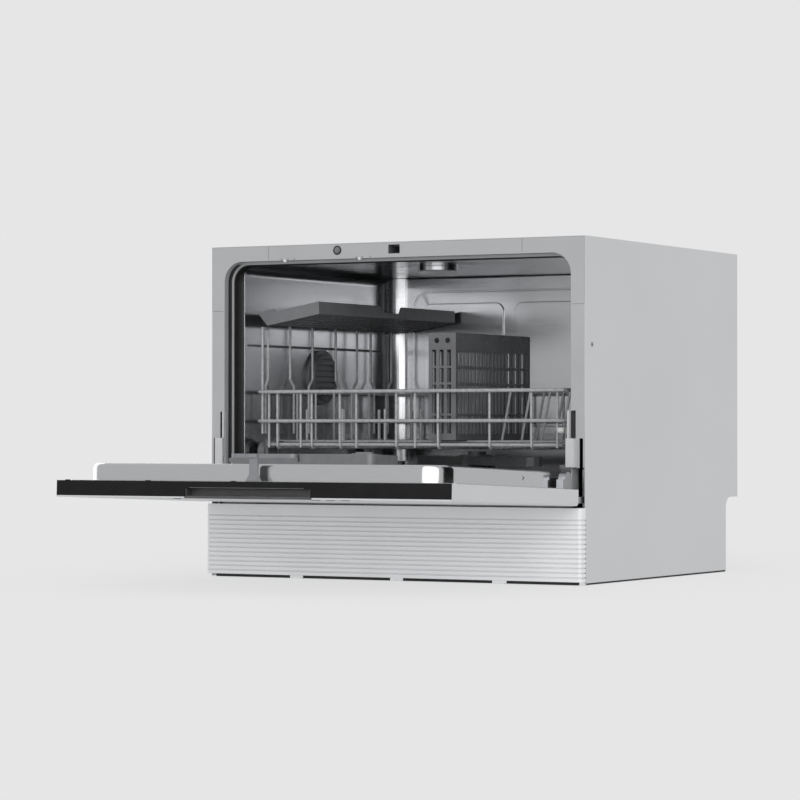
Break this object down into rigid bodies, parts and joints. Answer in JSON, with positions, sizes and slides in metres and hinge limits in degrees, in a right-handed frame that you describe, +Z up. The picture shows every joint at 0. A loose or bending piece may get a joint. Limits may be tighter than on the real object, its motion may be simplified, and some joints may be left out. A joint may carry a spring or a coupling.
{
  "type": "countertop dishwasher",
  "caption": "Compact countertop dishwasher with a fold-down door, raised steel liner, roll-out wire basket, cup shelf and cutlery basket.",
  "frame": {"origin": "on the worktop, under the middle of the whole footprint with the door open", "axes": "+X to the right of the door opening, +Y from the door into the cabinet, +Z up"},
  "size_m": [0.5516, 0.848, 0.438],
  "materials": {
    "silver_paint": "satin silver coat",
    "steel": "bright stainless",
    "frame_plastic": "silver-grey moulded",
    "tray_plastic": "grey moulded",
    "black_gloss": "gloss black",
    "dark_plastic": "dark grey moulded",
    "rubber": "matt black",
    "coated_wire": "grey nylon coat on steel wire",
    "pale_plastic": "pale grey moulded",
    "zinc": "zinc plated",
    "motor": "cast and varnished",
    "board": "green board"
  },
  "bodies": {
    "cabinet": {"outer_shell": "silver_paint", "rear_panel": "zinc", "base_tray": "tray_plastic", "plinth_panel": "silver_paint", "feet": "rubber", "front_frame": "frame_plastic", "tub": "steel", "tub_gasket": "rubber", "hinge_brackets": "zinc", "hinge_pins": "zinc", "hinge_covers": "frame_plastic", "latch_housing": "dark_plastic", "door_switch": "dark_plastic", "sump": "dark_plastic", "filter_plate": "steel", "spray_hub": "dark_plastic", "salt_tank": "pale_plastic", "breather_cap": "dark_plastic", "ceiling_vent": "steel", "wash_pump": "motor", "drain_pump": "motor", "inlet_valve": "pale_plastic", "drain_spigot": "pale_plastic", "cord_gland": "rubber", "heater": "motor", "panel_screws": "zinc"},
    "door": {"door_panel": "silver_paint", "door_frame": "frame_plastic", "door_end_cap": "black_gloss", "grip_lip": "black_gloss", "door_liner": "steel", "hinge_blocks": "zinc", "strike_hook": "zinc", "dispenser_body": "dark_plastic", "control_fascia": "black_gloss", "control_board": "board"},
    "dispenser_lid": {"dispenser_lid": "dark_plastic"},
    "rinse_cap": {"rinse_cap": "pale_plastic"},
    "power_button": {"power_button": "dark_plastic"},
    "program_button": {"program_button": "dark_plastic"},
    "delay_button": {"delay_button": "dark_plastic"},
    "start_button": {"start_button": "dark_plastic"},
    "latch_pawl": {"latch_pawl": "zinc"},
    "switch_plunger": {"switch_plunger": "pale_plastic"},
    "filter_cup": {"filter_cup": "dark_plastic"},
    "spray_arm": {"spray_arm": "dark_plastic"},
    "salt_cap": {"salt_cap": "pale_plastic"},
    "leak_float": {"leak_float": "pale_plastic"},
    "basket": {"basket_rails": "coated_wire", "basket_wires": "coated_wire", "basket_uprights": "coated_wire", "roller_brackets": "pale_plastic", "basket_end_caps": "pale_plastic"},
    "roller_front_left": {"roller_front_left": "pale_plastic"},
    "roller_front_right": {"roller_front_right": "pale_plastic"},
    "roller_rear_left": {"roller_rear_left": "pale_plastic"},
    "roller_rear_right": {"roller_rear_right": "pale_plastic"},
    "cup_shelf": {"cup_shelf": "dark_plastic"},
    "cutlery_basket": {"cutlery_basket": "dark_plastic"}
  },
  "joints": [
    {"name": "door_hinge", "type": "hinge", "parent": "cabinet", "child": "door", "pos_m": [0, -0.09298, 0.107], "axis": [-1, 0, 0], "range_deg": [0, 87.9]},
    {"name": "basket_slide", "type": "slide", "parent": "cabinet", "child": "basket", "axis": [0, 1, 0], "range_m": [-0.28, 0]},
    {"name": "roller_front_left_spin", "type": "hinge", "parent": "basket", "child": "roller_front_left", "pos_m": [-0.234, 0.00602, 0.1653], "axis": [1, 0, 0], "continuous": true},
    {"name": "roller_front_right_spin", "type": "hinge", "parent": "basket", "child": "roller_front_right", "pos_m": [0.234, 0.00602, 0.1653], "axis": [1, 0, 0], "continuous": true},
    {"name": "roller_rear_left_spin", "type": "hinge", "parent": "basket", "child": "roller_rear_left", "pos_m": [-0.234, 0.29702, 0.1653], "axis": [1, 0, 0], "continuous": true},
    {"name": "roller_rear_right_spin", "type": "hinge", "parent": "basket", "child": "roller_rear_right", "pos_m": [0.234, 0.29702, 0.1653], "axis": [1, 0, 0], "continuous": true},
    {"name": "cup_shelf_fold", "type": "hinge", "parent": "basket", "child": "cup_shelf", "pos_m": [-0.22475, 0.196, 0.352], "axis": [0, -1, 0], "range_deg": [0, 28]},
    {"name": "cutlery_basket_lift", "type": "slide", "parent": "basket", "child": "cutlery_basket", "axis": [0, 0, 1], "range_m": [0, 0.075]},
    {"name": "spray_arm_spin", "type": "hinge", "parent": "cabinet", "child": "spray_arm", "pos_m": [0, 0.17202, 0.152], "axis": [0, 0, 1], "continuous": true},
    {"name": "filter_cup_turn", "type": "hinge", "parent": "cabinet", "child": "filter_cup", "pos_m": [0.08, 0.06402, 0.12], "axis": [0, 0, 1], "range_deg": [0, 45]},
    {"name": "salt_cap_turn", "type": "hinge", "parent": "cabinet", "child": "salt_cap", "pos_m": [-0.15, 0.29402, 0.122], "axis": [0, 0, 1], "range_deg": [0, 360]},
    {"name": "leak_float_rise", "type": "slide", "parent": "cabinet", "child": "leak_float", "axis": [0, 0, 1], "range_m": [0, 0.008]},
    {"name": "latch_pawl_drop", "type": "slide", "parent": "cabinet", "child": "latch_pawl", "axis": [0, 0, -1], "range_m": [0, 0.0024], "stiffness_N_per_m": 60},
    {"name": "switch_plunger_push", "type": "slide", "parent": "cabinet", "child": "switch_plunger", "axis": [0, 1, 0], "range_m": [0, 0.0025], "stiffness_N_per_m": 60},
    {"name": "dispenser_lid_slide", "type": "slide", "parent": "door", "child": "dispenser_lid", "axis": [-1, 0, 0], "range_m": [0, 0.06]},
    {"name": "rinse_cap_turn", "type": "hinge", "parent": "door", "child": "rinse_cap", "pos_m": [0.072, -0.26856, 0.14896], "axis": [0, 0.0366, 0.9993], "range_deg": [0, 90]},
    {"name": "power_button_press", "type": "slide", "parent": "door", "child": "power_button", "axis": [0, 0.0366, 0.9993], "range_m": [0, 0.0012], "stiffness_N_per_m": 120},
    {"name": "program_button_press", "type": "slide", "parent": "door", "child": "program_button", "axis": [0, 0.0366, 0.9993], "range_m": [0, 0.0012], "stiffness_N_per_m": 120},
    {"name": "delay_button_press", "type": "slide", "parent": "door", "child": "delay_button", "axis": [0, 0.0366, 0.9993], "range_m": [0, 0.0012], "stiffness_N_per_m": 120},
    {"name": "start_button_press", "type": "slide", "parent": "door", "child": "start_button", "axis": [0, 0.0366, 0.9993], "range_m": [0, 0.0012], "stiffness_N_per_m": 120}
  ],
  "couplings": [
    {"joint": "roller_front_left_spin", "follows": "basket_slide", "rad_per_m": -66.667},
    {"joint": "roller_front_right_spin", "follows": "basket_slide", "rad_per_m": -66.667},
    {"joint": "roller_rear_left_spin", "follows": "basket_slide", "rad_per_m": -66.667},
    {"joint": "roller_rear_right_spin", "follows": "basket_slide", "rad_per_m": -66.667}
  ]
}
